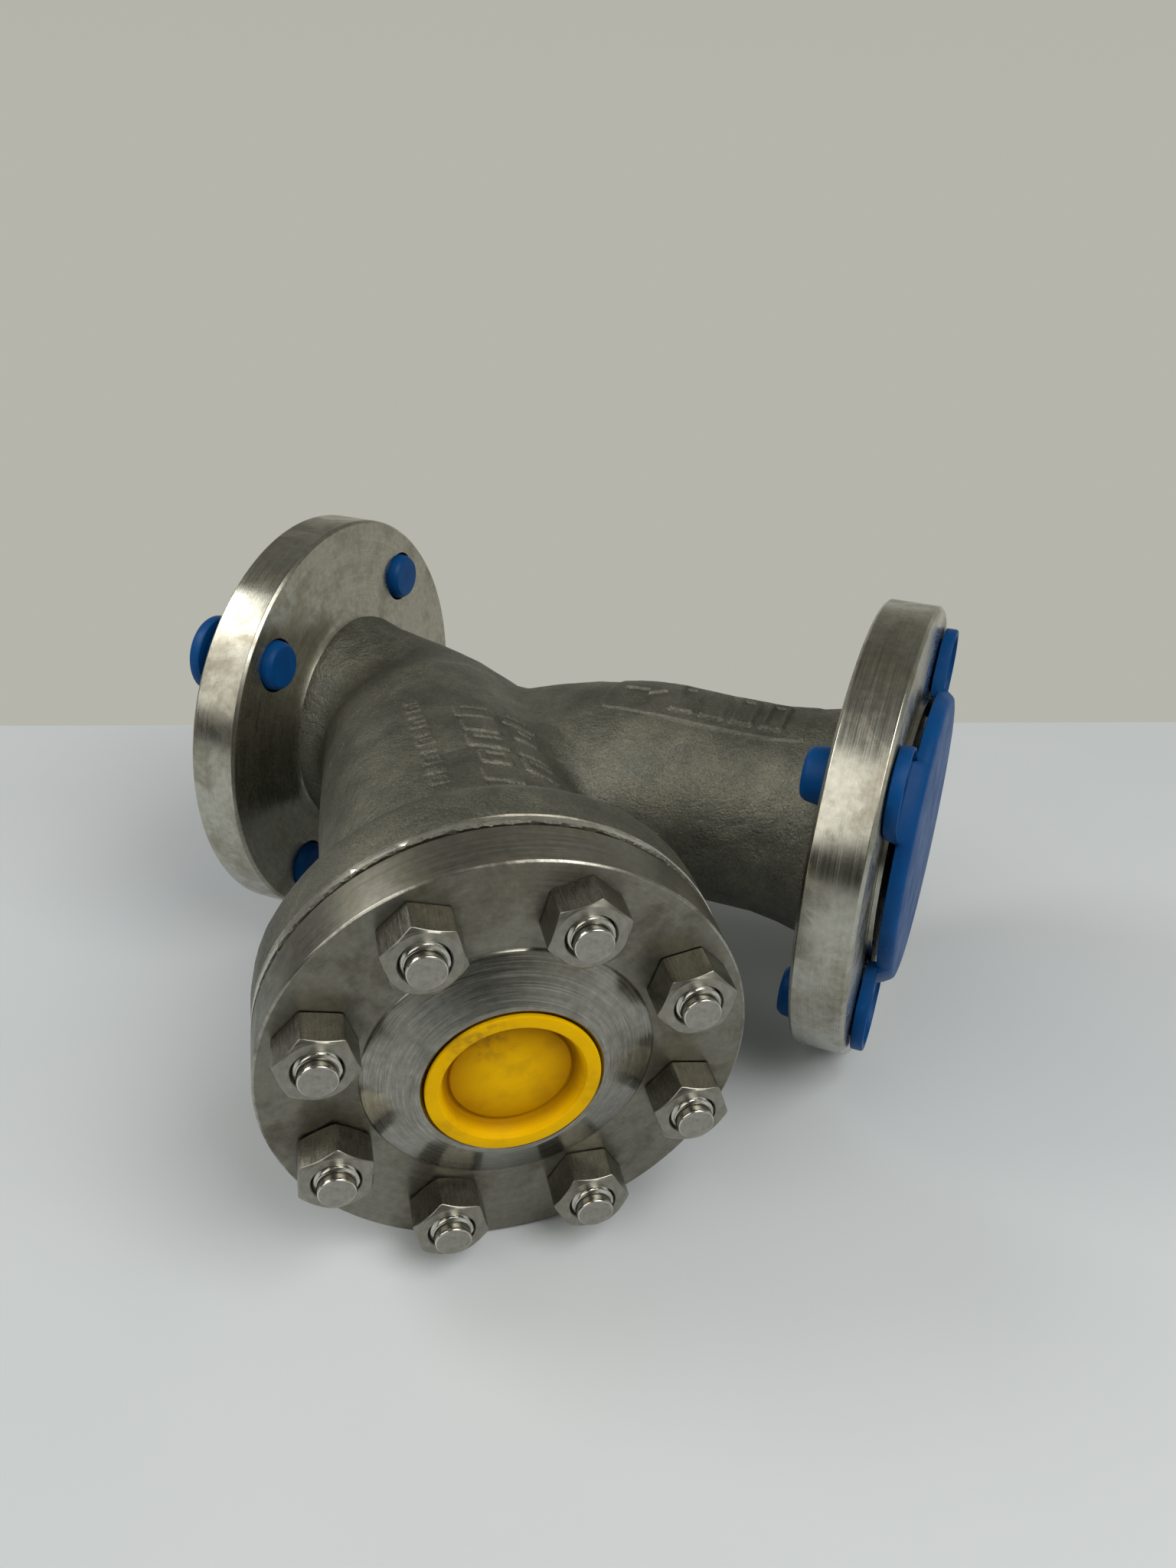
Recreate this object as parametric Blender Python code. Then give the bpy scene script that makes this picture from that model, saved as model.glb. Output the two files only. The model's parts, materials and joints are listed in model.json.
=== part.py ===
"""Flanged Y-type pipeline strainer, NPS 2 (DN 50), lying on its two end flanges and its cover.

The pipe run lies along X, inlet at -X and outlet at +X. The strainer leg leaves the run at
LEG_ANGLE and leans downstream; it dips slightly, so that the rim of its cover rests on the same
surface (Z = 0) as the rims of the end flanges, and the flanges' bolt holes are turned by the same
angle, because they straddle the leg. The origin is at the centre of the bounding box, on that
surface.

Pieces are turned about their own local Z axis. Three empties carry them: "run" has its Z axis
along the pipe run, "leg" along the strainer leg, both from the point where the two axes cross.
"""
import math

import bmesh
import bpy
from mathutils import Matrix, Vector

MM = 0.001

# End flanges, ASME B16.5 class 150, NPS 2
FLANGE_RADIUS = 76.2 * MM
FLANGE_RIM = 17.5 * MM
RAISED_RADIUS = 46.05 * MM
RAISED_HEIGHT = 1.6 * MM
BOLT_CIRCLE = 60.325 * MM
BOLT_HOLE_RADIUS = 9.525 * MM
BORE_RADIUS = 26.0 * MM
INLET_FACE = -50.0 * MM
OUTLET_FACE = 183.0 * MM

# Outside of the casting as (radius, distance from the crossing of the axes) in millimetres
RUN_NECKS = ((44, -30.9), (40, -28), (37.2, -20), (33, 0), (29.5, 16), (24.2, 31), (24.2, 40), (28, 54),
             (31.4, 67), (33.8, 84), (34.6, 100), (34.6, 138), (36, 148), (39, 157), (45, 163.9))
BARREL = ((0, -24), (16, -22), (28, -16), (35.5, -8), (39.5, 1), (41.5, 16), (43.6, 70), (45.5, 125),
          (48, 136), (52, 140.5))
SHOULDER_RADIUS = 30.0 * MM
SHOULDER_ON_LEG = 45.0 * MM
SHOULDER_ON_RUN = 85.0 * MM

# Passages of the pipe run: round bores with domed ends, and a slanted one from the leg to the outlet
DOME_LENGTH = 28.0 * MM
INLET_BORE_END = -4.0 * MM
OUTLET_BORE_START = 74.0 * MM
SIDE_PASSAGE_RADIUS = 24.0 * MM
OVERCUT = 3.0 * MM

# Strainer leg; distances run from the crossing of the axes
LEG_ANGLE = math.radians(54.0)
CHAMBER_RADIUS = 36.0 * MM
CHAMBER_START = 16.0 * MM
SEAT_RADIUS = 31.4 * MM
SEAT_START = 6.0 * MM
THROAT_RADIUS = 25.5 * MM
THROAT_START = -10.0 * MM
THROAT_POINT = -18.0 * MM
SHOULDER_TAPER = 5.0 * MM
BRANCH_RADIUS = 65.5 * MM
BRANCH_CHAMFER = 2.0 * MM
BRANCH_BACK = 140.5 * MM
BRANCH_FACE = 164.0 * MM
COVER_BACK = 165.0 * MM
COVER_FACE = 181.0 * MM
COVER_CHAMFER = 1.0 * MM
CLEARANCE = 0.3 * MM

# Gasket, in a recess of the branch flange
GASKET_INNER = 37.0 * MM
GASKET_OUTER = 43.5 * MM
GASKET_DEPTH = 2.0 * MM

# Cover and its drain port
BOSS_BASE_RADIUS = 38.9 * MM
BOSS_TOP_RADIUS = 25.2 * MM
BOSS_TOP = 187.3 * MM
PORT_RADIUS = 22.6 * MM
PORT_CHAMFER_RADIUS = 24.3 * MM
SPIGOT_RADIUS = 35.4 * MM
SPIGOT_START = 160.0 * MM
COVER_RECESS_RADIUS = 31.5 * MM
COVER_RECESS_END = 168.0 * MM

# Studs M12 and their nuts, eight, straddling the plane of the two axes
STUD_COUNT = 8
STUD_RADIUS = 6.0 * MM
STUD_END_RADIUS = 4.8 * MM
STUD_POINT = 1.2 * MM
STUD_CIRCLE = 51.8 * MM
STUD_START = 146.3 * MM
STUD_END = 195.2 * MM
COVER_HOLE_RADIUS = 6.75 * MM
NUT_FLATS = 19.0 * MM
NUT_HEIGHT = 10.4 * MM
NUT_CHAMFER = 0.9 * MM
NUT_EDGE = 0.2 * MM
NUT_SIDES = 18
NUT_TURNS_DEG = (12.1, 42.5, 39.7, 16.7, 26.8, 10.3, 51.9, 14.9)

# Screen
SCREEN_RADIUS = 28.5 * MM
SCREEN_WALL = 1.5 * MM
SCREEN_START = 6.6 * MM
SCREEN_END = 166.8 * MM
RING_RADIUS = 31.0 * MM
RING_LENGTH = 8.0 * MM

# Flange protectors: distances run outward from the raised face
GUARD_STANDOFF = 2.2 * MM
GUARD_RADIUS = 49.0 * MM
GUARD_SKIN = 2.2 * MM
GUARD_DEPTH = 5.0 * MM
GUARD_EAR_REACH = 60.0 * MM
GUARD_EAR_HALF_WIDTH = 13.5 * MM
GUARD_EAR_SKIN = 2.6 * MM
GUARD_EAR_GAP = 0.6 * MM
GUARD_EDGE = 0.8 * MM
PEG_RADIUS = 9.2 * MM
PEG_TIP_RADIUS = 8.2 * MM
PEG_WALL = 1.8 * MM
PEG_PROTRUSION = 9.0 * MM
PEG_TAPER = 7.0 * MM
PEG_CHAMFER = 2.0 * MM
INLET_GUARD_SLIP = 4.5 * MM

# Drain plug, a tapered cup
PLUG_LIP_RADIUS = 23.2 * MM
PLUG_LIP_HEIGHT = 1.4 * MM
PLUG_MOUTH_RADIUS = 19.4 * MM
PLUG_FLOOR_RADIUS = 16.6 * MM
PLUG_NECK_RADIUS = 22.0 * MM
PLUG_END_RADIUS = 21.2 * MM
PLUG_WALL = 1.8 * MM
PLUG_TOP = 188.4 * MM
PLUG_FLOOR = 183.6 * MM
PLUG_END = 172.0 * MM

# Sides of the turned surfaces; each is a multiple of four, so a corner points straight down
FINE = 40
ROUND = 28
SMALL = 16
HALF_SIDE = 0.5


def leg_dip():
    """Angle by which the leg dips, so that the cover's rim comes down to the flanges' rims."""
    low, high = 0.0, math.radians(20.0)
    for _ in range(60):
        middle = (low + high) / 2
        fall = math.sin(LEG_ANGLE) * math.sin(middle)
        rim = FLANGE_RADIUS - COVER_FACE * fall - BRANCH_RADIUS * math.sqrt(1 - fall ** 2)
        low, high = (middle, high) if rim > 0 else (low, middle)
    return low


def leg_axes():
    """World directions of the leg's local X, Y and Z, before the origin is placed."""
    cos, sin = math.cos(LEG_ANGLE), math.sin(LEG_ANGLE)
    tilt = Matrix.Rotation(leg_dip(), 3, "X")
    return tilt @ Vector((sin, cos, 0)), tilt @ Vector((0, 0, 1)), tilt @ Vector((cos, -sin, 0))


def stud_angle(index):
    return math.radians(112.5) - index * math.tau / STUD_COUNT


def crossing_point():
    """Where the two axes cross, with the origin at the bounding box's bottom centre."""
    side, up, along = leg_axes()
    slope = math.sqrt(1 - along.y ** 2)
    front = COVER_FACE * along.y - BRANCH_RADIUS * slope
    for index in range(STUD_COUNT):
        angle = stud_angle(index)
        centre = side * math.cos(angle) * STUD_CIRCLE + up * math.sin(angle) * STUD_CIRCLE
        front = min(front, (centre + along * STUD_END).y - STUD_END_RADIUS * slope)
    left = INLET_FACE - GUARD_STANDOFF - GUARD_DEPTH - INLET_GUARD_SLIP
    right = OUTLET_FACE + GUARD_STANDOFF + GUARD_DEPTH
    return Vector((-(left + right) / 2, -(front + FLANGE_RADIUS) / 2, FLANGE_RADIUS))


def clear_scene():
    for item in list(bpy.data.objects):
        bpy.data.objects.remove(item, do_unlink=True)


def material(name, colour, roughness, metallic):
    made = bpy.data.materials.new(name)
    made.use_nodes = True
    shader = made.node_tree.nodes["Principled BSDF"]
    shader.inputs["Base Color"].default_value = (*colour, 1.0)
    shader.inputs["Roughness"].default_value = roughness
    shader.inputs["Metallic"].default_value = metallic
    return made


def add(name, bm, parent, finish=None):
    """Link a new object with this shape under the given empty."""
    mesh = bpy.data.meshes.new(name)
    bmesh.ops.recalc_face_normals(bm, faces=bm.faces)
    bm.to_mesh(mesh)
    bm.free()
    mesh.shade_smooth()
    mesh.set_sharp_from_angle(angle=math.radians(35))
    made = bpy.data.objects.new(name, mesh)
    bpy.context.scene.collection.objects.link(made)
    made.parent = parent
    if finish:
        mesh.materials.append(finish)
    return made


def empty(name, matrix, parent=None):
    made = bpy.data.objects.new(name, None)
    bpy.context.scene.collection.objects.link(made)
    made.parent = parent
    made.matrix_local = matrix
    return made


def turned(outline, segments=ROUND, shift=(0.0, 0.0), phase=0.0):
    """Solid of revolution about Z. outline is a list of (radius, height); a radius of 0 is a pole.

    phase turns the sides by that share of one side.
    """
    bm = bmesh.new()
    rings = []
    for radius, height in outline:
        if radius == 0:
            rings.append([bm.verts.new((shift[0], shift[1], height))])
            continue
        angles = [math.tau * (k + phase) / segments for k in range(segments)]
        rings.append([
            bm.verts.new((shift[0] + radius * math.cos(a), shift[1] + radius * math.sin(a), height))
            for a in angles])
    closed = outline[0][0] > 0 or outline[-1][0] > 0
    pairs = list(zip(rings, rings[1:])) + ([(rings[-1], rings[0])] if closed else [])
    for first, second in pairs:
        for k in range(segments):
            after = (k + 1) % segments
            corners = [first[k % len(first)], first[after % len(first)],
                       second[after % len(second)], second[k % len(second)]]
            loop = [v for n, v in enumerate(corners) if v not in corners[:n]]
            if len(loop) > 2:
                bm.faces.new(loop)
    return bm


def modify(target, tool, operation):
    """Join a tool to the target, or cut it away, and hide the tool."""
    step = target.modifiers.new(tool.name, "BOOLEAN")
    step.operation = operation
    step.object = tool
    step.solver = "EXACT"
    tool.hide_render = True
    tool.display_type = "WIRE"


def drilled(target, parent, label, radius, centres, start, end, segments=SMALL):
    """Drill round holes along the parent's Z axis at (x, y) centres."""
    outline = [(0, start), (radius, start), (radius, end), (0, end)]
    for number, centre in enumerate(centres):
        tool = add(f"{label}_{number}", turned(outline, segments, centre, HALF_SIDE), parent)
        modify(target, tool, "DIFFERENCE")


def circle_places(count, radius, first_angle, sense=1):
    """Centres evenly round a circle, anticlockwise, or clockwise where sense is -1."""
    angles = [first_angle + sense * k * math.tau / count for k in range(count)]
    return [(radius * math.cos(a), radius * math.sin(a)) for a in angles]


def run_outline():
    """Outside of the pipe run, from the inlet's raised face to the outlet's, waisted at the throat."""
    inlet_rim = INLET_FACE + RAISED_HEIGHT
    outlet_rim = OUTLET_FACE - RAISED_HEIGHT
    inlet = [(0, INLET_FACE), (RAISED_RADIUS, INLET_FACE), (RAISED_RADIUS, inlet_rim),
             (FLANGE_RADIUS, inlet_rim), (FLANGE_RADIUS, inlet_rim + FLANGE_RIM)]
    outlet = [(FLANGE_RADIUS, outlet_rim - FLANGE_RIM), (FLANGE_RADIUS, outlet_rim),
              (RAISED_RADIUS, outlet_rim), (RAISED_RADIUS, OUTLET_FACE), (0, OUTLET_FACE)]
    return inlet + [(r * MM, z * MM) for r, z in RUN_NECKS] + outlet


def cast_body(run, leg, finish):
    """One casting: the branch flange and barrel on the leg, and both necks and flanges on the run."""
    flange = [(BRANCH_RADIUS - BRANCH_CHAMFER, BRANCH_BACK), (BRANCH_RADIUS, BRANCH_BACK + BRANCH_CHAMFER),
              (BRANCH_RADIUS, BRANCH_FACE), (0, BRANCH_FACE)]
    outline = [(radius * MM, height * MM) for radius, height in BARREL] + flange
    body = add("body", turned(outline, FINE), leg, finish)
    modify(body, add("pipe_run", turned(run_outline(), FINE), run), "UNION")
    modify(body, add("shoulder", shoulder_tube(SHOULDER_RADIUS), run), "UNION")
    cut_passages(body, run, leg)
    places = circle_places(4, BOLT_CIRCLE, math.radians(45) + leg_dip())
    depth = RAISED_HEIGHT + FLANGE_RIM + 2 * OVERCUT
    drilled(body, run, "inlet_bolt", BOLT_HOLE_RADIUS, places, INLET_FACE - OVERCUT, INLET_FACE + depth)
    drilled(body, run, "outlet_bolt", BOLT_HOLE_RADIUS, places, OUTLET_FACE - depth, OUTLET_FACE + OVERCUT)
    drilled(body, leg, "stud_socket", STUD_RADIUS + CLEARANCE, stud_places(),
            STUD_START - CLEARANCE, BRANCH_FACE + OVERCUT)


def stud_places():
    return circle_places(STUD_COUNT, STUD_CIRCLE, stud_angle(0), -1)


def shoulder_tube(radius):
    """Round bar between the leg and the outlet neck, in the run's frame; it carries the side passage."""
    start = Vector((math.cos(LEG_ANGLE), -math.sin(LEG_ANGLE), 0)) * SHOULDER_ON_LEG
    end = Vector((SHOULDER_ON_RUN, 0, 0))
    length = (end - start).length
    bm = turned([(0, 0), (radius, 0), (radius, length), (0, length)], ROUND)
    aim = (end - start).to_track_quat("Z", "Y").to_matrix().to_4x4()
    tilt = Matrix.Rotation(leg_dip(), 4, "X")
    to_run = run_matrix().inverted()
    bmesh.ops.transform(bm, matrix=to_run @ tilt @ Matrix.Translation(start) @ aim, verts=bm.verts)
    return bm


def cut_passages(body, run, leg):
    """Hollow the casting: two domed pipe bores, the side passage, the throat, seat and chamber."""
    steps = 4
    angles = [math.pi / 2 * k / steps for k in range(steps + 1)]
    dome = [(BORE_RADIUS * math.sin(a), DOME_LENGTH * math.cos(a)) for a in angles]
    inlet_mouth = INLET_FACE - OVERCUT
    outlet_mouth = OUTLET_FACE + OVERCUT
    inlet = [(radius, INLET_BORE_END + height) for radius, height in dome]
    outlet = [(radius, OUTLET_BORE_START - height) for radius, height in dome]
    recess_radius = GASKET_OUTER + CLEARANCE
    recess_floor = BRANCH_FACE - GASKET_DEPTH
    hollow = [(0, THROAT_POINT), (THROAT_RADIUS, THROAT_START), (THROAT_RADIUS, SEAT_START),
              (SEAT_RADIUS, SEAT_START), (SEAT_RADIUS, CHAMBER_START),
              (CHAMBER_RADIUS, CHAMBER_START + SHOULDER_TAPER), (CHAMBER_RADIUS, recess_floor),
              (recess_radius, recess_floor), (recess_radius, BRANCH_FACE + OVERCUT),
              (0, BRANCH_FACE + OVERCUT)]
    cutters = (
        add("inlet_bore", turned(inlet + [(BORE_RADIUS, inlet_mouth), (0, inlet_mouth)]), run),
        add("outlet_bore", turned(outlet + [(BORE_RADIUS, outlet_mouth), (0, outlet_mouth)]), run),
        add("side_passage", shoulder_tube(SIDE_PASSAGE_RADIUS), run),
        add("chamber", turned(hollow), leg))
    for cutter in cutters:
        modify(body, cutter, "DIFFERENCE")


def cover(leg, finish):
    """Blind cover with spigot, screen recess, conical boss and chamfered drain port."""
    chamfer = PORT_CHAMFER_RADIUS - PORT_RADIUS
    outline = [(COVER_RECESS_RADIUS, SPIGOT_START), (SPIGOT_RADIUS, SPIGOT_START),
               (SPIGOT_RADIUS, COVER_BACK), (BRANCH_RADIUS, COVER_BACK),
               (BRANCH_RADIUS, COVER_FACE - COVER_CHAMFER), (BRANCH_RADIUS - COVER_CHAMFER, COVER_FACE),
               (BOSS_BASE_RADIUS, COVER_FACE), (BOSS_TOP_RADIUS, BOSS_TOP),
               (PORT_CHAMFER_RADIUS, BOSS_TOP), (PORT_RADIUS, BOSS_TOP - chamfer),
               (PORT_RADIUS, COVER_RECESS_END), (COVER_RECESS_RADIUS, COVER_RECESS_END)]
    made = add("cover", turned(outline, FINE), leg, finish)
    drilled(made, leg, "cover_hole", COVER_HOLE_RADIUS, stud_places(),
            COVER_BACK - OVERCUT, COVER_FACE + OVERCUT)


def gasket(leg, finish):
    low = BRANCH_FACE - GASKET_DEPTH + CLEARANCE
    high = COVER_BACK - CLEARANCE
    outline = [(GASKET_INNER, low), (GASKET_OUTER, low), (GASKET_OUTER, high), (GASKET_INNER, high)]
    add("gasket", turned(outline), leg, finish)


def screen(leg, finish):
    """Screen tube with a collar round each end."""
    inner = SCREEN_RADIUS - SCREEN_WALL
    tube = [(inner, SCREEN_START), (SCREEN_RADIUS, SCREEN_START), (SCREEN_RADIUS, SCREEN_END),
            (inner, SCREEN_END)]
    add("screen_tube", turned(tube), leg, finish)
    bore = SCREEN_RADIUS + CLEARANCE
    for name, low in (("screen_top_ring", SCREEN_START), ("screen_bottom_ring", SCREEN_END - RING_LENGTH)):
        high = low + RING_LENGTH
        outline = [(bore, low), (RING_RADIUS, low), (RING_RADIUS, high), (bore, high)]
        add(name, turned(outline), leg, finish)


def nut_mesh(turn):
    """Hexagon nut with its corners chamfered at the top, standing on local Z = 0."""
    bore = STUD_RADIUS + CLEARANCE
    across = NUT_FLATS / 2
    corner = across / math.cos(math.pi / 6)
    angles = [math.tau * k / NUT_SIDES for k in range(NUT_SIDES)]
    flats = [across / math.cos(a % (math.pi / 3) - math.pi / 6) for a in angles]
    round_bore = [bore] * NUT_SIDES
    top = [across - NUT_EDGE] * NUT_SIDES
    level = [NUT_HEIGHT] * NUT_SIDES
    base = [0.0] * NUT_SIDES
    edge = [NUT_HEIGHT - NUT_EDGE - NUT_CHAMFER * (r - across) / (corner - across) for r in flats]
    bm = bmesh.new()
    loops = [
        [bm.verts.new((r * math.cos(a + turn), r * math.sin(a + turn), z))
         for r, a, z in zip(radii, angles, heights)]
        for radii, heights in ((round_bore, base), (flats, base), (flats, edge), (top, level),
                               (round_bore, level))]
    for first, second in zip(loops, loops[1:] + loops[:1]):
        for k in range(NUT_SIDES):
            after = (k + 1) % NUT_SIDES
            bm.faces.new((first[k], first[after], second[after], second[k]))
    return bm


def fasteners(leg, stud_finish, nut_finish):
    """Studs screwed into the branch flange, and a nut on each, with its origin on its stud's axis."""
    for index, place in enumerate(stud_places()):
        stud = [(0, STUD_START), (STUD_RADIUS, STUD_START), (STUD_RADIUS, STUD_END - STUD_POINT),
                (STUD_END_RADIUS, STUD_END), (0, STUD_END)]
        axis = empty(f"stud_axis_{index + 1}", Matrix.Translation((*place, 0)), leg)
        add(f"stud_{index + 1}", turned(stud, SMALL, phase=HALF_SIDE), axis, stud_finish)
        nut = add(f"nut_{index + 1}", nut_mesh(math.radians(NUT_TURNS_DEG[index])), axis, nut_finish)
        nut.location = (0, 0, COVER_FACE + CLEARANCE)


def ear_outline():
    """Half-round ended ear of a protector, in the plane of the disc, along local X."""
    start = RAISED_RADIUS + GUARD_EDGE
    width = GUARD_EAR_HALF_WIDTH
    root = width + 2 * MM
    steps = 6
    angles = [math.pi * (k / steps - 1 / 2) for k in range(steps + 1)]
    end = [(GUARD_EAR_REACH + width * math.cos(a), width * math.sin(a)) for a in angles]
    return [(start, -root)] + end + [(start, root)]


def prism(outline, low, high):
    bm = bmesh.new()
    bottom = [bm.verts.new((x, y, low)) for x, y in outline]
    top = [bm.verts.new((x, y, high)) for x, y in outline]
    bm.faces.new(bottom)
    bm.faces.new(top)
    for k in range(len(outline)):
        after = (k + 1) % len(outline)
        bm.faces.new((bottom[k], bottom[after], top[after], top[k]))
    return bm


def protector(name, holder, finish):
    """Moulded flange protector about local Z, which points outward from the raised face at Z = 0."""
    inner = GUARD_STANDOFF
    outer = GUARD_STANDOFF + GUARD_DEPTH
    lip = GUARD_RADIUS - GUARD_SKIN
    disc = [(0, outer), (GUARD_RADIUS - GUARD_EDGE, outer), (GUARD_RADIUS, outer - GUARD_EDGE),
            (GUARD_RADIUS, inner), (lip, inner), (lip, outer - GUARD_SKIN), (0, outer - GUARD_SKIN)]
    made = add(name, turned(disc, FINE), holder, finish)
    low = -RAISED_HEIGHT + GUARD_EAR_GAP
    high = low + GUARD_EAR_SKIN
    tip = -RAISED_HEIGHT - FLANGE_RIM - PEG_PROTRUSION
    sunk = 0.4 * MM
    peg_top = high - sunk
    mouth = high + sunk
    peg_outline = [(0, peg_top), (PEG_RADIUS, peg_top), (PEG_RADIUS, tip + PEG_TAPER),
                   (PEG_TIP_RADIUS, tip + PEG_CHAMFER), (PEG_TIP_RADIUS - PEG_CHAMFER / 2, tip), (0, tip)]
    hollow_outline = [(0, mouth), (PEG_RADIUS - PEG_WALL, mouth),
                      (PEG_TIP_RADIUS - PEG_WALL, tip + PEG_WALL), (0, tip + PEG_WALL)]
    for number in range(4):
        angle = math.radians(45 + 90 * number)
        turn = Matrix.Rotation(angle, 4, "Z")
        place = (BOLT_CIRCLE * math.cos(angle), BOLT_CIRCLE * math.sin(angle))
        ear = prism(ear_outline(), low, high)
        riser = prism(riser_outline(), low + sunk, outer - 2 * GUARD_EDGE)
        for shape in (ear, riser):
            bmesh.ops.transform(shape, matrix=turn, verts=shape.verts)
        peg = turned(peg_outline, SMALL, place, HALF_SIDE)
        hollow = turned(hollow_outline, SMALL, place, HALF_SIDE)
        for label, shape, operation in (("ear", ear, "UNION"), ("riser", riser, "UNION"),
                                        ("peg", peg, "UNION"), ("hollow", hollow, "DIFFERENCE")):
            modify(made, add(f"{name}_{label}_{number}", shape, holder), operation)


def riser_outline():
    """Wall that joins an ear to the disc, along local X, following the disc's edge."""
    half = math.asin((GUARD_EAR_HALF_WIDTH + 1.5 * MM) / GUARD_RADIUS)
    steps = 4
    angles = [half * (2 * k / steps - 1) for k in range(steps + 1)]
    inside = RAISED_RADIUS + 1 * MM
    outside = GUARD_RADIUS + 1.2 * MM
    inner_arc = [(inside * math.cos(a), inside * math.sin(a)) for a in angles]
    outer_arc = [(outside * math.cos(a), outside * math.sin(a)) for a in reversed(angles)]
    return inner_arc + outer_arc


def drain_plug(leg, finish):
    """Tapered cup in the drain port, its lip just proud of the boss."""
    lip_back = PLUG_TOP - PLUG_LIP_HEIGHT
    outline = [(0, PLUG_FLOOR), (PLUG_FLOOR_RADIUS, PLUG_FLOOR), (PLUG_MOUTH_RADIUS, PLUG_TOP),
               (PLUG_LIP_RADIUS, PLUG_TOP), (PLUG_LIP_RADIUS, lip_back),
               (PLUG_NECK_RADIUS, lip_back - PLUG_WALL), (PLUG_END_RADIUS, PLUG_END),
               (PLUG_END_RADIUS - PLUG_WALL, PLUG_END),
               (PLUG_FLOOR_RADIUS + PLUG_WALL, PLUG_FLOOR - PLUG_WALL), (0, PLUG_FLOOR - PLUG_WALL)]
    add("drain_plug", turned(outline), leg, finish)


def run_matrix():
    """Local Z along world X and local Y up, without translation."""
    return Matrix(((0, 0, 1), (1, 0, 0), (0, 1, 0))).to_4x4()


def main():
    clear_scene()
    cast_steel = material("cast_steel", (0.16, 0.155, 0.135), 0.55, 0.9)
    turned_steel = material("turned_steel", (0.42, 0.41, 0.38), 0.32, 1.0)
    bright_steel = material("bright_steel", (0.5, 0.49, 0.47), 0.25, 1.0)
    sheet_steel = material("sheet_steel", (0.45, 0.45, 0.44), 0.35, 1.0)
    graphite = material("graphite", (0.03, 0.03, 0.03), 0.8, 0.0)
    blue_plastic = material("blue_plastic", (0.01, 0.09, 0.35), 0.4, 0.0)
    yellow_plastic = material("yellow_plastic", (0.9, 0.55, 0.01), 0.4, 0.0)

    crossing = Matrix.Translation(crossing_point())
    side, up, along = leg_axes()
    leg_turn = Matrix((side, up, along)).transposed().to_4x4()
    run = empty("run", crossing @ run_matrix())
    leg = empty("leg", crossing @ leg_turn)
    straddle = Matrix.Rotation(leg_dip(), 4, "Z")
    outlet_end = Matrix.Translation((0, 0, OUTLET_FACE)) @ straddle
    slipped = Matrix.Translation((0, 0, INLET_FACE - INLET_GUARD_SLIP))
    inlet_end = slipped @ straddle @ Matrix.Rotation(math.pi, 4, "Y")

    cast_body(run, leg, cast_steel)
    gasket(leg, graphite)
    cover(leg, turned_steel)
    screen(leg, sheet_steel)
    fasteners(leg, bright_steel, turned_steel)
    protector("inlet_protector", empty("inlet_end", inlet_end, run), blue_plastic)
    protector("outlet_protector", empty("outlet_end", outlet_end, run), blue_plastic)
    drain_plug(leg, yellow_plastic)


main()
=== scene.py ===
"""Looks of the flanged NPS 2 Y strainer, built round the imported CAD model.

Outlines are lists of (radius, height) in millimetres. Pieces on the strainer leg are made in the leg's
frame and pieces on the pipe run in the run's: local Z lies along the axis, and both frames start where
the two axes cross.
"""
import json
import math

import bmesh
import bpy
import numpy as np
from mathutils import Matrix, Vector, noise


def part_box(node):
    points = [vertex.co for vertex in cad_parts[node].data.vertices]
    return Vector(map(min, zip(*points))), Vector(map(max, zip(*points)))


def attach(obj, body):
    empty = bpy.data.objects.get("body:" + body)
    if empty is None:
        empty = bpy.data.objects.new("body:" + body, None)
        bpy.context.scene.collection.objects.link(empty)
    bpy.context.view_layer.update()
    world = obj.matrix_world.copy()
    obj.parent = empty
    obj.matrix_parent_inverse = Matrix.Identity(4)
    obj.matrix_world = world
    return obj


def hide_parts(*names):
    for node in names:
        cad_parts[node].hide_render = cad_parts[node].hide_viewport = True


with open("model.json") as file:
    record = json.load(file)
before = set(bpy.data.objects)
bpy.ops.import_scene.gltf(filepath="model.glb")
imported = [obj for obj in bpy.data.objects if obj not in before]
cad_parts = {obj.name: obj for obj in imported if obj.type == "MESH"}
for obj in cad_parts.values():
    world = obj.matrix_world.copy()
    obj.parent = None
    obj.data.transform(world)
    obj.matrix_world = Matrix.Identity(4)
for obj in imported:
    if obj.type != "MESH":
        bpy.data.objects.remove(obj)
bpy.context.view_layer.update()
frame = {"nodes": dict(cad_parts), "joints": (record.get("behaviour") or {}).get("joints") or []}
MM = 0.001

# Pipe run: stations in millimetres from the crossing of the axes, and radii
INLET_FACE = -50.0
OUTLET_FACE = 183.0
RAISED_HEIGHT = 1.6
FLANGE_RIM = 17.5
FLANGE_RADIUS = 76.2
RAISED_RADIUS = 46.05
BORE_RADIUS = 26.0
BOLT_CIRCLE = 60.325
BOLT_HOLE_RADIUS = 9.525
GUARD_RADIUS = 49.0
INLET_GUARD_SLIP = 4.5
PEG_PROTRUSION = 7.8

# Leg: stations from the crossing of the axes, and radii
BRANCH_RADIUS = 65.5
BRANCH_FACE = 164.0
BAND_START = 161.0
COVER_BACK = 165.0
COVER_FACE = 181.0
BOSS_TOP = 187.3
SCREEN_START = 6.6
SCREEN_END = 166.8
SCREEN_RADIUS = 28.5
SCREEN_WALL = 1.5
STUD_CIRCLE = 51.8
STUD_END = 195.2
STUD_START = 146.3
STUD_HOLE_RADIUS = 6.75
RING_LENGTH = 8.0
NUT_BASE = COVER_FACE + 0.3
NUT_HEIGHT = 10.4
NUT_FLATS = 19.0
NUT_TURNS_DEG = (12.1, 42.5, 39.7, 16.7, 26.8, 10.3, 51.9, 14.9)
NUTS_CHAMFERED_BELOW = (5, 6)

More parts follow.
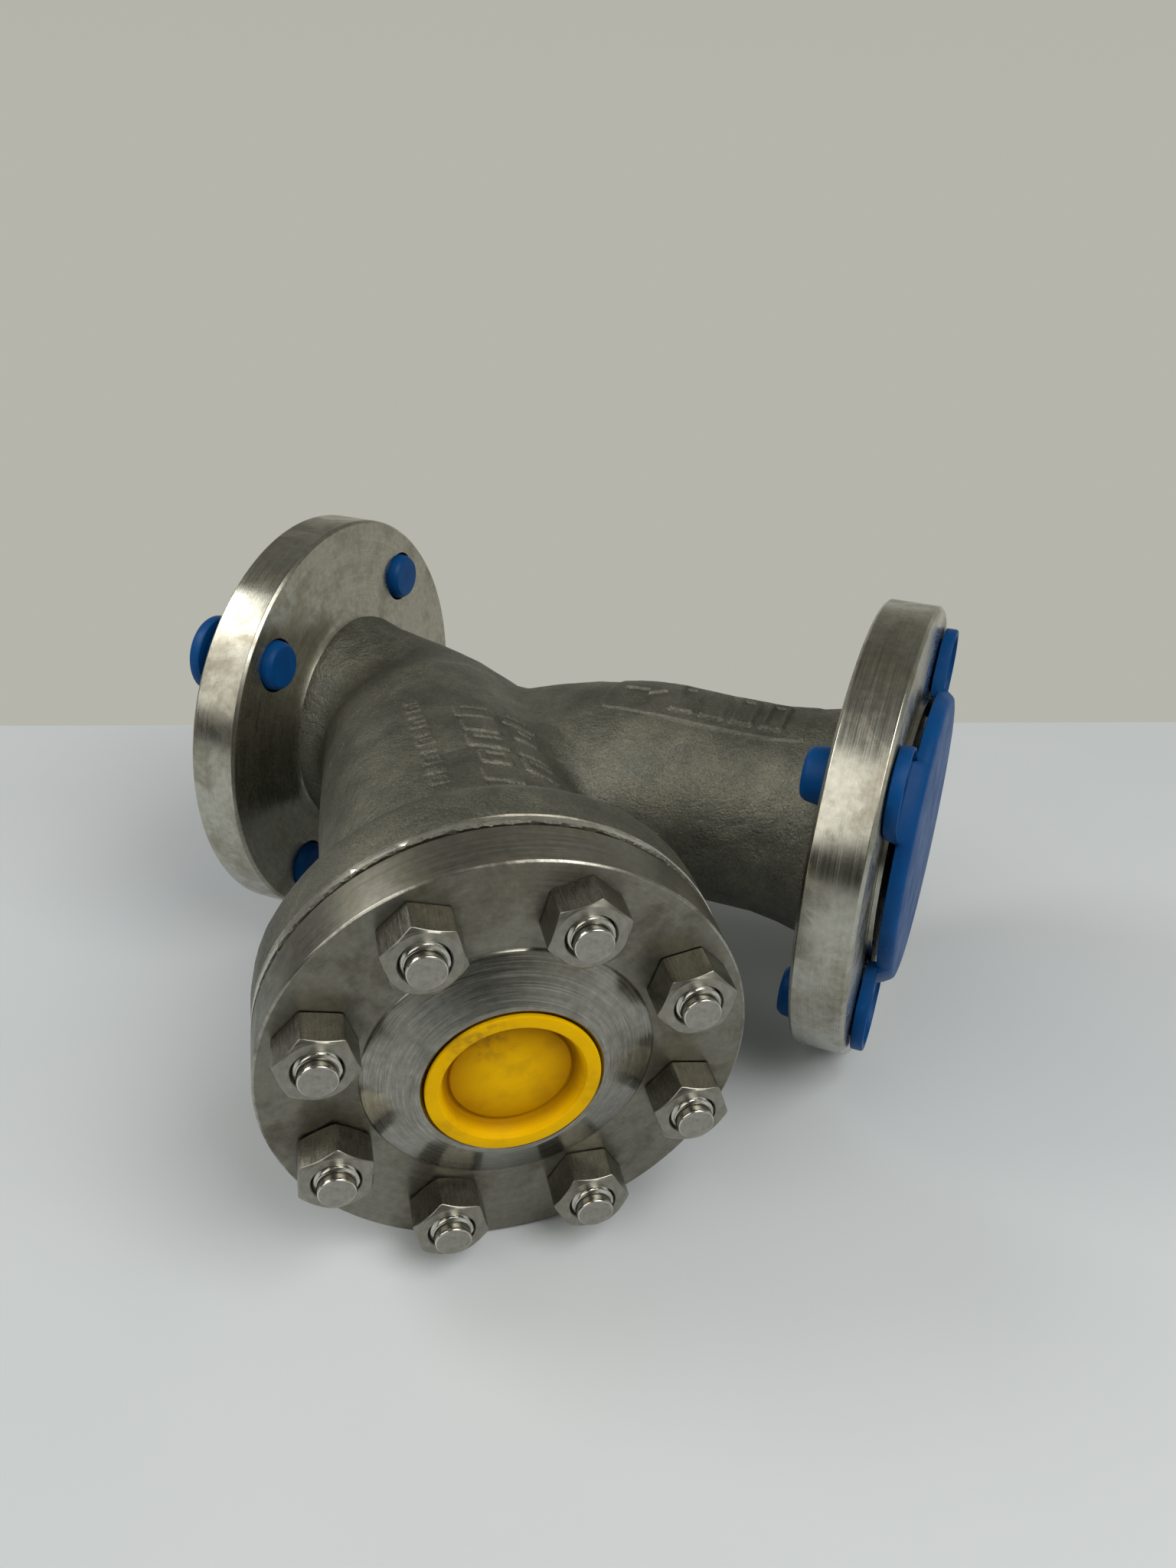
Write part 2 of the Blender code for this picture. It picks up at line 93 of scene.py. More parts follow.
# Outsides of the casting before its parts are blended. The web and the passage inside it run from a
# station on the leg to one on the run.
RUN_NECKS = [(0, -34), (40, -34), (40, -28), (37.4, -20), (34, 0), (30.5, 16), (24.2, 34), (24.2, 40),
             (29, 54), (32.6, 67), (35, 84), (36, 100), (36, 138), (37.4, 148), (39.5, 157), (39.5, 168),
             (0, 168)]
NECK_SAG = 1.6
NECK_SAG_START = 30.0
NECK_SAG_LENGTH = 45.0
BARREL = [(0, -10), (16, -8), (25, -4), (31.5, 2), (36, 9), (39, 20), (43.4, 70), (45.2, 118),
          (47.5, 130), (52.5, 137.5), (60, 141.5), (63.6, 144), (65.2, 148), (65.5, 152), (65.5, 164.2),
          (0, 164.2)]
BARREL_RISE = 0.35
WEB_RADIUS = 29.0
WEB_ENDS = (70.0, 95.0)
WEB_BLEND = 12.0
BARREL_BLEND = 6.0
PASSAGE_RADIUS = 24.0
PASSAGE_ENDS = (45.0, 85.0)
VOXEL = 1.5


def joint_axis(name):
    return next(Vector(j["axis"]).normalized() for j in frame["joints"] if j["name"] == name)


def frame_matrix(x_axis, y_axis, z_axis, origin):
    matrix = Matrix((x_axis, y_axis, z_axis)).transposed().to_4x4()
    matrix.translation = origin
    return matrix


ALONG = joint_axis("cover_withdraw")
UP = Vector((0, -ALONG.z / ALONG.y, 1)).normalized()
SIDE = UP.cross(ALONG)
SCREEN_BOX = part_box("screen_tube")
CROSSING = (SCREEN_BOX[0] + SCREEN_BOX[1]) / 2 - ALONG * (SCREEN_START + SCREEN_END) / 2 * MM
LEG = frame_matrix(SIDE, UP, ALONG, CROSSING)
RUN = frame_matrix(Vector((0, 1, 0)), Vector((0, 0, 1)), Vector((1, 0, 0)), CROSSING)
DIP = math.atan2(-UP.y, UP.z)


# ---------------------------------------------------------------- mesh helpers

def rounded(corners, steps=4):
    """Outline with its corners rounded; a corner is (radius, height) or (radius, height, fillet)."""
    points = []
    for k, corner in enumerate(corners):
        here = Vector(corner[:2])
        if len(corner) < 3 or k in (0, len(corners) - 1):
            points.append(here)
            continue
        before = Vector(corners[k - 1][:2]) - here
        after = Vector(corners[k + 1][:2]) - here
        reach = min(corner[2], before.length * 0.49, after.length * 0.49)
        start = here + before.normalized() * reach
        end = here + after.normalized() * reach
        for n in range(steps + 1):
            t = n / steps
            points.append(start * (1 - t) ** 2 + here * 2 * t * (1 - t) + end * t ** 2)
    return [tuple(p) for p in points]


def polar(radius, angle, height, centre=(0.0, 0.0)):
    """Position in metres of a point given in millimetres round a centre."""
    return Vector(((centre[0] + radius * math.cos(angle)) * MM, (centre[1] + radius * math.sin(angle)) * MM,
                   height * MM))


def lathe(outline, segments=96, centre=(0.0, 0.0), bm=None):
    """Solid of revolution about local Z. An outline that starts or ends off the axis is joined up."""
    bm = bm or bmesh.new()
    rings = []
    for radius, height in outline:
        count = segments if radius else 1
        rings.append([bm.verts.new(polar(radius, math.tau * k / segments, height, centre))
                      for k in range(count)])
    closed = outline[0][0] > 0 or outline[-1][0] > 0
    faces = []
    for first, second in list(zip(rings, rings[1:])) + ([(rings[-1], rings[0])] if closed else []):
        for k in range(segments):
            after = (k + 1) % segments
            corners = [first[k % len(first)], first[after % len(first)],
                       second[after % len(second)], second[k % len(second)]]
            loop = [v for n, v in enumerate(corners) if v not in corners[:n]]
            if len(loop) > 2:
                faces.append(bm.faces.new(loop))
    bmesh.ops.recalc_face_normals(bm, faces=faces)
    return bm


def plug_outline(radius, low, high):
    """Outline of a plain cylinder."""
    return [(0, low), (radius, low), (radius, high), (0, high)]


def to_object(name, bm, matrix=Matrix.Identity(4), sharp=32, finishes=()):
    """New object from a bmesh, placed by its matrix."""
    mesh = bpy.data.meshes.new(name)
    bm.to_mesh(mesh)
    bm.free()
    for finish in finishes:
        mesh.materials.append(finish)
    made = bpy.data.objects.new(name, mesh)
    bpy.context.scene.collection.objects.link(made)
    made.matrix_world = matrix
    shade(made, sharp)
    return made


def shade(made, sharp=32):
    made.data.shade_smooth()
    made.data.set_sharp_from_angle(angle=math.radians(sharp))


def evaluated(made):
    """Replace an object's mesh by its evaluated one and drop its modifiers."""
    depsgraph = bpy.context.evaluated_depsgraph_get()
    mesh = bpy.data.meshes.new_from_object(made.evaluated_get(depsgraph))
    made.modifiers.clear()
    made.data = mesh


def combine(target, tool, operation):
    """Boolean the target with a tool, keep the tool's materials on the new faces, and remove the tool."""
    step = target.modifiers.new(operation, "BOOLEAN")
    step.operation = operation
    step.object = tool
    step.solver = "EXACT"
    step.material_mode = "TRANSFER"
    bpy.context.view_layer.update()
    evaluated(target)
    bpy.data.objects.remove(tool, do_unlink=True)


def cut(target, bm, matrix, finish):
    """Take a bmesh away from the target and give the cut faces a finish."""
    combine(target, to_object("cutter", bm, matrix, finishes=[finish]), "DIFFERENCE")


def finish_piece(made, body, slot, *nodes):
    """Let a piece ride on its body and stand for its CAD nodes, which it hides. The slot is not used."""
    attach(made, body)
    if nodes:
        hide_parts(*nodes)
    return made


# ---------------------------------------------------------------- node helpers

def add_node(tree, kind, inputs, output=0, **settings):
    """New node whose inputs are linked to sockets or set to values; gives one of its outputs."""
    made = tree.nodes.new(kind)
    for key, value in settings.items():
        setattr(made, key, value)
    for key, value in inputs.items():
        if isinstance(value, bpy.types.NodeSocket):
            tree.links.new(value, made.inputs[key])
        else:
            made.inputs[key].default_value = value
    return made.outputs[output]


class Shader:
    """A material with one Principled BSDF and short calls for the nodes that feed it."""

    def __init__(self, name, colour, roughness, metallic, **constants):
        self.material = bpy.data.materials.new(name)
        self.material.use_nodes = True
        self.tree = self.material.node_tree
        self.surface = self.tree.nodes["Principled BSDF"]
        self.set("Base Color", (*colour, 1))
        self.set("Roughness", roughness)
        self.set("Metallic", metallic)
        for socket, value in constants.items():
            self.set(socket.replace("_", " "), value)

    def set(self, socket, value):
        self.surface.inputs[socket].default_value = value

    def link(self, source, socket):
        self.tree.links.new(source, self.surface.inputs[socket])

    def tint(self, colour, value):
        """Base colour times a value."""
        product = self.node("ShaderNodeVectorMath", {0: colour, 1: value}, operation="MULTIPLY")
        self.link(product, "Base Color")

    def node(self, kind, inputs, output=0, **settings):
        return add_node(self.tree, kind, inputs, output, **settings)

    def math(self, operation, a, b=0.0, clamp=False):
        return self.node("ShaderNodeMath", {0: a, 1: b}, operation=operation, use_clamp=clamp)

    def local(self, matrix=None):
        """Object coordinates, or those of a frame whose matrix is given."""
        where = self.node("ShaderNodeTexCoord", {}, output=3)
        if matrix is None:
            return where
        back = matrix.inverted()
        return self.node("ShaderNodeMapping", {"Vector": where, "Location": back.translation,
                                               "Rotation": back.to_euler()})

    def noise(self, vector, scale, detail, roughness, distortion=0.0):
        return self.node("ShaderNodeTexNoise", {"Vector": vector, "Scale": scale, "Detail": detail,
                                                "Roughness": roughness, "Distortion": distortion})

    def ramp(self, value, low, high, to_low=0.0, to_high=1.0):
        return self.node("ShaderNodeMapRange", {"Value": value, "From Min": low, "From Max": high,
                                                "To Min": to_low, "To Max": to_high})

    def mix(self, factor, a, b):
        """Colour between a and b."""
        inputs = {0: factor, 6: a if isinstance(a, bpy.types.NodeSocket) else (*a, 1),
                  7: b if isinstance(b, bpy.types.NodeSocket) else (*b, 1)}
        return self.node("ShaderNodeMix", inputs, output=2, data_type="RGBA")

    def bump(self, height, distance, strength=1.0, normal=None):
        inputs = {"Height": height, "Distance": distance, "Strength": strength}
        if normal is not None:
            inputs["Normal"] = normal
        return self.node("ShaderNodeBump", inputs)

    def cylinder(self, matrix=None):
        """Radius, height and the outward unit vector about local Z."""
        split = self.tree.nodes.new("ShaderNodeSeparateXYZ")
        self.tree.links.new(self.local(matrix), split.inputs[0])
        flat = self.node("ShaderNodeCombineXYZ", {"X": split.outputs[0], "Y": split.outputs[1]})
        radius = self.node("ShaderNodeVectorMath", {0: flat}, output=1, operation="LENGTH")
        outward = self.node("ShaderNodeVectorMath", {0: flat}, operation="NORMALIZE")
        return radius, split.outputs[2], outward


# ---------------------------------------------------------------- materials

def turned_metal(name, colour, roughness, matrix=None, grime=(0.30, 0.26, 0.18), dirt=0.25, streaks=0.35,
                 anisotropy=0.65, shine=0.10):
    """Lathe-turned stainless: fine lines round local Z, with stains and a few dull patches."""
    made = Shader(name, colour, roughness, 1.0, Anisotropic=anisotropy, Anisotropic_Rotation=0.25)
    radius, height, outward = made.cylinder(matrix)
    along = made.node("ShaderNodeVectorMath", {0: outward, "Scale": 0.0016}, operation="SCALE")
    reach = made.node("ShaderNodeCombineXYZ", {"X": radius, "Y": height})
    across = made.node("ShaderNodeVectorMath", {0: along, 1: reach})
    fine = made.noise(across, 2600.0, 2.0, 0.6)
    coarse = made.noise(across, 900.0, 3.0, 0.6)
    place = made.local()
    blotch = made.noise(place, 60.0, 6.0, 0.68, distortion=0.4)
    speckle = made.noise(place, 420.0, 3.0, 0.6)
    lines = made.math("ADD", made.math("MULTIPLY", fine, 0.6), made.math("MULTIPLY", coarse, 0.4))
    stained = made.math("MULTIPLY", made.ramp(blotch, 0.46, 0.64), dirt, clamp=True)
    tint = made.mix(stained, colour, grime)
    shade_lines = made.ramp(lines, 0.3, 0.7, 1.0 - streaks * 0.5, 1.0 + streaks * 0.3)
    shade_spots = made.ramp(speckle, 0.28, 0.72, 0.84, 1.12)
    value = made.math("MULTIPLY", shade_lines, shade_spots)
    made.tint(tint, value)
    rough = made.math("ADD", made.ramp(lines, 0.3, 0.7, roughness - shine, roughness + 0.07),
                      made.math("MULTIPLY", stained, 0.25))
    made.link(rough, "Roughness")
    made.link(made.bump(lines, 0.00003, 0.5), "Normal")
    if matrix is None:
        axis, out_world = (made.node("ShaderNodeVectorTransform", {0: vector}, vector_type="VECTOR",
                                     convert_from="OBJECT", convert_to="WORLD")
                           for vector in ((0, 0, 1), outward))
    else:
        axis = tuple(matrix.col[2][:3])
        out_world = made.node("ShaderNodeMapping", {"Vector": outward, "Rotation": matrix.to_euler()})
    tangent = made.node("ShaderNodeVectorMath", {0: axis, 1: out_world}, operation="CROSS_PRODUCT")
    made.link(tangent, "Tangent")
    return made.material


def cast_metal():
    """Bead-blasted stainless casting: matte, mottled, gritty in patches, with fine pits."""
    colour = (0.148, 0.148, 0.121)
    made = Shader("cast_steel", colour, 0.52, 0.88)
    place = made.local()
    broad = made.noise(place, 22.0, 4.0, 0.6)
    cloud = made.noise(place, 85.0, 6.0, 0.68)
    patch = made.noise(place, 48.0, 5.0, 0.7, distortion=0.6)
    grain = made.noise(place, 1700.0, 4.0, 0.75)
    grit = made.noise(place, 700.0, 4.0, 0.7)
    pits = made.node("ShaderNodeTexVoronoi", {"Vector": place, "Scale": 620.0, "Randomness": 1.0})
    gritty = made.ramp(patch, 0.50, 0.64)
    shade_broad = made.ramp(broad, 0.3, 0.7, 0.78, 1.20)
    shade_cloud = made.ramp(cloud, 0.3, 0.7, 0.80, 1.20)
    shade_grain = made.ramp(grain, 0.28, 0.72, 0.52, 1.50)
    value = made.math("MULTIPLY", made.math("MULTIPLY", shade_broad, shade_cloud), shade_grain)
    value = made.math("MULTIPLY", value, made.ramp(gritty, 0.0, 1.0, 0.95, 1.13))
    warm = made.mix(made.ramp(cloud, 0.42, 0.75), colour, (0.162, 0.155, 0.118))
    made.tint(warm, value)
    made.link(made.ramp(grit, 0.3, 0.7, 0.40, 0.62), "Roughness")
    depth = made.math("MULTIPLY", grit, made.ramp(gritty, 0.0, 1.0, 0.35, 1.0))
    rough = made.bump(grain, 0.00020, 0.9)
    lumpy = made.bump(depth, 0.00070, 0.85, rough)
    pitted = made.bump(made.ramp(pits, 0.0, 0.35), 0.00016, 0.5, lumpy)
    made.link(made.bump(cloud, 0.0012, 0.45, pitted), "Normal")
    return made.material


def bored_metal():
    """Machined inside walls, darker and dull."""
    colour = (0.30, 0.29, 0.26)
    made = Shader("bored_steel", colour, 0.42, 1.0)
    place = made.local()
    cloud = made.noise(place, 120.0, 5.0, 0.6)
    lines = made.noise(place, 1800.0, 2.0, 0.6)
    value = made.ramp(cloud, 0.3, 0.7, 0.75, 1.1)
    made.tint(colour, value)
    made.link(made.bump(lines, 0.00004, 0.5), "Normal")
    return made.material


def brushed_flats(name, colour, roughness):
    """Drawn hexagon bar: fine straight lines along local Z, with dull corners."""
    made = Shader(name, colour, roughness, 1.0)
    place = made.local()
    stretch = made.node("ShaderNodeVectorMath", {0: place, 1: (1, 1, 0.10)}, operation="MULTIPLY")
    lines = made.noise(stretch, 2300.0, 3.0, 0.65)
    slant = made.node("ShaderNodeMapping", {"Vector": place, "Rotation": (0.5, 0.35, 0.6),
                                            "Scale": (1.0, 0.12, 1.0)})
    scratches = made.noise(slant, 1600.0, 2.0, 0.5)
    cloud = made.noise(place, 160.0, 4.0, 0.6)
    value = made.math("MULTIPLY", made.ramp(lines, 0.3, 0.7, 0.74, 1.12),
                      made.ramp(cloud, 0.3, 0.7, 0.82, 1.10))
    value = made.math("MULTIPLY", value, made.ramp(scratches, 0.35, 0.62, 0.86, 1.06))
    made.tint(colour, value)
    made.link(made.ramp(lines, 0.3, 0.7, roughness - 0.06, roughness + 0.10), "Roughness")
    made.link(made.bump(made.math("ADD", lines, scratches), 0.00004, 0.6), "Normal")
    return made.material


def moulded_plastic(name, colour, dark, pale, roughness, level, smudge=None, cup=None):
    """Moulded polyethylene: slightly uneven sheen and faint scuffs.

    A smudge is (centre, size, colour) of a dirty patch, and a cup is (height, strength) of painted shade on a
    floor, which darkens it towards its wall where the lip would shade it.
    """
    made = Shader(name, colour, roughness, 0.0, Subsurface_Weight=0.12, Subsurface_Scale=0.004,
                  Specular_IOR_Level=level)
    place = made.local()
    cloud = made.noise(place, 90.0, 5.0, 0.6)
    speck = made.noise(place, 900.0, 3.0, 0.6)
    scuff = made.node("ShaderNodeMapping", {"Vector": place, "Rotation": (0.4, 0.9, 0.3),
                                            "Scale": (1.0, 0.08, 1.0)})
    scuffs = made.noise(scuff, 1100.0, 2.0, 0.5)
    tone = made.mix(made.ramp(cloud, 0.35, 0.70), colour, dark)
    tone = made.mix(made.ramp(scuffs, 0.66, 0.80, 0.0, 0.35), tone, pale)
    if smudge:
        centre, size, grime = smudge
        reach = made.node("ShaderNodeVectorMath", {0: place, 1: centre}, output=1, operation="DISTANCE")
        near = made.ramp(reach, size, size * 0.25)
        patch = made.math("MULTIPLY", near, made.ramp(made.noise(place, 330.0, 5.0, 0.7), 0.46, 0.62))
        film = made.math("ADD", made.math("MULTIPLY", patch, 0.85), made.ramp(cloud, 0.50, 0.80, 0.0, 0.35),
                         clamp=True)
        tone = made.mix(film, tone, grime)
    # Painted shade: the cup's floor turns dark orange towards its wall, standing in for the lip's shadow.
    if cup:
        floor, painted_shade_strength = cup
        radius, height, _ = made.cylinder()
        low = made.math("MULTIPLY", made.ramp(height, floor + 0.0032, floor + 0.0004), painted_shade_strength)
        painted_wall_shade = made.math("MULTIPLY", made.ramp(radius, 0.004, 0.0175), low)
        tone = made.mix(painted_wall_shade, tone, (0.30, 0.115, 0.0))
    made.link(tone, "Base Color")
    made.link(made.ramp(cloud, 0.3, 0.7, roughness - 0.06, roughness + 0.10), "Roughness")
    made.link(made.bump(speck, 0.00005, 0.25), "Normal")
    return made.material


def sheet_gasket():
    made = Shader("gasket_sheet", (0.02, 0.02, 0.02), 0.8, 0.0)
    place = made.local()
    grain = made.noise(place, 1400.0, 4.0, 0.7)
    made.link(made.mix(grain, (0.012, 0.012, 0.013), (0.05, 0.05, 0.052)), "Base Color")
    made.link(made.bump(grain, 0.00008, 0.6), "Normal")
    return made.material


def sheet_metal():
    """Perforated stainless sheet of the screen."""
    colour = (0.46, 0.455, 0.43)
    made = Shader("screen_steel", colour, 0.34, 1.0)
    place = made.local()
    cloud = made.noise(place, 140.0, 4.0, 0.6)
    grain = made.noise(place, 1700.0, 3.0, 0.6)
    value = made.math("MULTIPLY", made.ramp(cloud, 0.3, 0.7, 0.80, 1.10),
                      made.ramp(grain, 0.3, 0.7, 0.9, 1.08))
    made.tint(colour, value)
    made.link(made.ramp(cloud, 0.3, 0.7, 0.27, 0.42), "Roughness")
    made.link(made.bump(grain, 0.00004, 0.5), "Normal")
    return made.material


CAST = cast_metal()
RUN_TURNED = turned_metal("run_turned", (0.44, 0.43, 0.37), 0.25, RUN, (0.24, 0.21, 0.145), 0.6)
LEG_TURNED = turned_metal("leg_turned", (0.62, 0.61, 0.55), 0.24, LEG)
BORED = bored_metal()
COVER_FINISH = turned_metal("cover_turned", (0.215, 0.208, 0.172), 0.40, dirt=0.55, streaks=0.28,
                           grime=(0.115, 0.098, 0.068))
BOSS_FINISH = turned_metal("boss_turned", (0.30, 0.292, 0.255), 0.25, dirt=0.30, streaks=1.0,
                           grime=(0.09, 0.085, 0.075), shine=0.14)
EDGE_FINISH = turned_metal("bright_edge", (0.35, 0.34, 0.30), 0.26, dirt=1.0, grime=(0.12, 0.11, 0.09))
NUT_SIDE = brushed_flats("nut_side", (0.255, 0.245, 0.205), 0.33)
NUT_FACE = turned_metal("nut_face", (0.27, 0.262, 0.225), 0.33, dirt=0.35)
STUD_FACE = turned_metal("stud_face", (0.33, 0.32, 0.285), 0.42, dirt=0.4, streaks=0.5, anisotropy=0.4)
STUD_FINISH = turned_metal("stud_bright", (0.56, 0.55, 0.50), 0.17, dirt=0.15, streaks=0.3, anisotropy=0.3)
SCREEN_FINISH = sheet_metal()
GASKET_FINISH = sheet_gasket()
BLUE = moulded_plastic("blue_plastic", (0.001, 0.058, 0.205), (0.001, 0.045, 0.165), (0.04, 0.15, 0.33),
                       0.42, 0.12)
# The yellow plastic's last argument paints shade on the plug's floor near its lip wall.
YELLOW = moulded_plastic("yellow_plastic", (0.80, 0.455, 0.0), (0.70, 0.385, 0.0), (0.84, 0.55, 0.01),
                         0.46, 0.04, ((-0.006, 0.014, 0.188), 0.011, (0.16, 0.10, 0.02)), (0.1838, 0.75))


# ---------------------------------------------------------------- casting

def outline_distance(outline, radius, height):
    """Signed distance from points to a closed outline in the (radius, height) plane, negative inside."""
    best = np.full(radius.shape, 1e9)
    crossings = np.zeros(radius.shape, int)
    for (r0, h0), (r1, h1) in zip(outline, outline[1:] + outline[:1]):
        dr, dh = r1 - r0, h1 - h0
        share = np.clip(((radius - r0) * dr + (height - h0) * dh) / (dr * dr + dh * dh), 0, 1)
        if r0 > 0 or r1 > 0:
            best = np.minimum(best, np.hypot(radius - r0 - share * dr, height - h0 - share * dh))
        if dh:
            spans = (h0 > height) != (h1 > height)
            crossings += spans & (radius < r0 + (height - h0) * dr / dh)
    return np.where(crossings % 2 == 1, -best, best)


def to_local(points, matrix):
    """World points in metres as local ones in millimetres."""
    back = np.array(matrix.inverted())
    return (points @ back[:3, :3].T + back[:3, 3]) / MM


def smooth_union(a, b, blend):
    share = np.clip(blend - np.abs(a - b), 0, None) / blend
    return np.minimum(a, b) - share * share * blend / 4


def rod(radius, ends, segments):
    """Cylinder from a station on the leg to one on the run, with the matrix that places it."""
    start = CROSSING + ALONG * ends[0] * MM
    end = CROSSING + Vector((ends[1] * MM, 0, 0))
    aim = Matrix.Translation(start) @ (end - start).to_track_quat("Z", "Y").to_matrix().to_4x4()
    return lathe(plug_outline(radius, 0, (end - start).length / MM), segments), aim


def casting_distance(points):
    """Signed distance to the blended outside of the casting, in millimetres."""
    run = to_local(points, RUN)
    leg = to_local(points, LEG)
    run[:, 1] += NECK_SAG * np.clip((run[:, 2] - NECK_SAG_START) / NECK_SAG_LENGTH, 0, 1)
    pipe = outline_distance(RUN_NECKS, np.hypot(run[:, 0], run[:, 1]), run[:, 2])
    barrel = outline_distance(BARREL, np.hypot(leg[:, 0], leg[:, 1] - BARREL_RISE), leg[:, 2])
    start = np.array(CROSSING + ALONG * WEB_ENDS[0] * MM)
    reach = np.array(CROSSING) + (WEB_ENDS[1] * MM, 0, 0) - start
    share = np.clip((points - start) @ reach / (reach @ reach), 0, 1)
    web = np.linalg.norm(points - start - share[:, None] * reach, axis=1) / MM - WEB_RADIUS
    return smooth_union(smooth_union(pipe, web, WEB_BLEND), barrel, BARREL_BLEND)


def slope(points, step=0.0002):
    """Gradient of the casting's distance, as unit vectors."""
    columns = []
    for axis in range(3):
        offset = np.zeros(3)
        offset[axis] = step
        columns.append(casting_distance(points + offset) - casting_distance(points - offset))
    made = np.stack(columns, axis=1)
    return made / np.maximum(np.linalg.norm(made, axis=1, keepdims=True), 1e-9)


def on_surface(points):
    """Points moved along the gradient onto the blended outside, and their normals."""
    normals = slope(points)
    return points - normals * casting_distance(points)[:, None] * MM, normals


def neighbour_mean(mesh, points):
    edges = np.zeros(len(mesh.edges) * 2, int)
    mesh.edges.foreach_get("vertices", edges)
    edges = edges.reshape(-1, 2)
    total = np.zeros_like(points)
    count = np.zeros(len(points))
    for a, b in ((0, 1), (1, 0)):
        np.add.at(total, edges[:, a], points[edges[:, b]])
        np.add.at(count, edges[:, a], 1)
    return total / count[:, None]


def get_points(mesh):
    points = np.zeros(len(mesh.vertices) * 3)
    mesh.vertices.foreach_get("co", points)
    return points.reshape(-1, 3)


def set_points(mesh, points):
    mesh.vertices.foreach_set("co", points.astype(np.float32).ravel())
    mesh.update()


def casting_blank():
    """Voxel mesh of the joined outsides, drawn onto their blended surface."""
    bm = bmesh.new()
    for part, matrix in ((lathe(RUN_NECKS, 64), RUN), (lathe(BARREL, 64), LEG),
                         rod(WEB_RADIUS, WEB_ENDS, 48)):
        bmesh.ops.transform(part, matrix=matrix, verts=part.verts)
        mesh = bpy.data.meshes.new("part")
        part.to_mesh(mesh)
        part.free()
        bm.from_mesh(mesh)
        bpy.data.meshes.remove(mesh)
    made = to_object("body_casting", bm, finishes=[CAST, RUN_TURNED, LEG_TURNED, BORED])
    remesh = made.modifiers.new("voxels", "REMESH")
    remesh.mode = "VOXEL"
    remesh.voxel_size = VOXEL * MM
    evaluated(made)
    points = get_points(made.data)
    for _ in range(3):
        points = points * 0.5 + neighbour_mean(made.data, points) * 0.5
        for _ in range(2):
            points = on_surface(points)[0]
    set_points(made.data, points)
    return made


def flange(face, back, outward):
    """Machined pipe flange with raised face, on the run; outward is -1 at the inlet and 1 at the outlet."""
    root = back - outward * 7.5
    corners = [(0, face), (RAISED_RADIUS, face, 0.3), (RAISED_RADIUS, face - outward * RAISED_HEIGHT, 0.3),
               (FLANGE_RADIUS - 1.1, face - outward * RAISED_HEIGHT, 0.25),
               (FLANGE_RADIUS, face - outward * (RAISED_HEIGHT + 1.1), 0.25),
               (FLANGE_RADIUS, back + outward * 1.0, 0.25), (FLANGE_RADIUS - 1.0, back, 0.25),
               (39.9, back, 4.5), (36.0, root, 0.2), (30.0, root), (0, root)]
    return rounded(corners, 6)


def flow_passages():
    """The bored passages of the casting, each with the matrix that places it."""
    dome = [(BORE_RADIUS * math.sin(a), 28 * math.cos(a)) for a in (math.pi / 2 * k / 8 for k in range(9))]
    inlet = [(r, -4 + h) for r, h in dome] + [(BORE_RADIUS, INLET_FACE - 3), (0, INLET_FACE - 3)]
    outlet = [(r, 74 - h) for r, h in dome] + [(BORE_RADIUS, OUTLET_FACE + 3), (0, OUTLET_FACE + 3)]
    chamber = [(0, -18), (25.5, -10), (25.5, 6), (31.4, 6), (31.4, 26), (36, 31), (36, 162), (43.8, 162),
               (43.8, 168), (0, 168)]
    return [(lathe(inlet, 64), RUN), (lathe(outlet, 64), RUN), rod(PASSAGE_RADIUS, PASSAGE_ENDS, 64),
            (lathe(chamber, 72), LEG)]


def casting():
    made = casting_blank()
    roughen(made.data)
    flanges = lathe(flange(INLET_FACE, INLET_FACE + RAISED_HEIGHT + FLANGE_RIM, -1), 192)
    lathe(flange(OUTLET_FACE, OUTLET_FACE - RAISED_HEIGHT - FLANGE_RIM, 1), 192, bm=flanges)
    combine(made, to_object("flanges", flanges, RUN, finishes=[RUN_TURNED]), "UNION")
    for bm, matrix in flow_passages():
        cut(made, bm, matrix, BORED)
    turned = BRANCH_RADIUS - 0.05
    cut(made, lathe([(turned, BAND_START), (72, BAND_START), (72, 170), (turned, 170)], 160), LEG, LEG_TURNED)
    cut(made, lathe(plug_outline(80, BRANCH_FACE, 175), 96), LEG, LEG_TURNED)
    holes = bmesh.new()
    for centre in bolt_places(DIP):
        for low, high in ((INLET_FACE - 2, INLET_FACE + 25), (OUTLET_FACE - 25, OUTLET_FACE + 2)):
            lathe(plug_outline(BOLT_HOLE_RADIUS, low, high), 40, centre, bm=holes)
    cut(made, holes, RUN, BORED)
    sockets = bmesh.new()
    for centre in stud_places():
        lathe(plug_outline(6.3, STUD_START - 0.3, 170), 32, centre, bm=sockets)
    cut(made, sockets, LEG, BORED)
    shade(made, 30)
    return finish_piece(made, "casing", "cast_steel", "body")


def soft_block(across, along, centre, half, corner=0.8):
    """1 inside a rounded rectangle, 0 outside, with a flank a little under a millimetre wide."""
    dx = np.abs(across - centre[0]) - half[0] + corner
    dy = np.abs(along - centre[1]) - half[1] + corner
    gap = np.hypot(np.maximum(dx, 0), np.maximum(dy, 0)) + np.minimum(np.maximum(dx, dy), 0) - corner
    return np.clip(0.5 - gap / 0.9, 0, 1)


def frame_block(across, along, centre, half, wall):
    """A rounded rectangle with a sunk middle, or a solid one when the wall is as wide as the block."""
    block = soft_block(across, along, centre, half, 1.4)
    if wall >= half[1]:
        return block
    return block - 0.85 * soft_block(across, along, centre, (half[0] - wall, half[1] - wall), 0.6)


def mark_positions(points):
    """Arc, station and whether it is on top, of each point round the leg and then round the run."""
    found = []
    for matrix, radius in ((LEG, 43.5), (RUN, 33.8)):
        local = to_local(points, matrix)
        found += [radius * np.arctan2(local[:, 0], local[:, 1]), local[:, 2], local[:, 1] > 10]
    return found


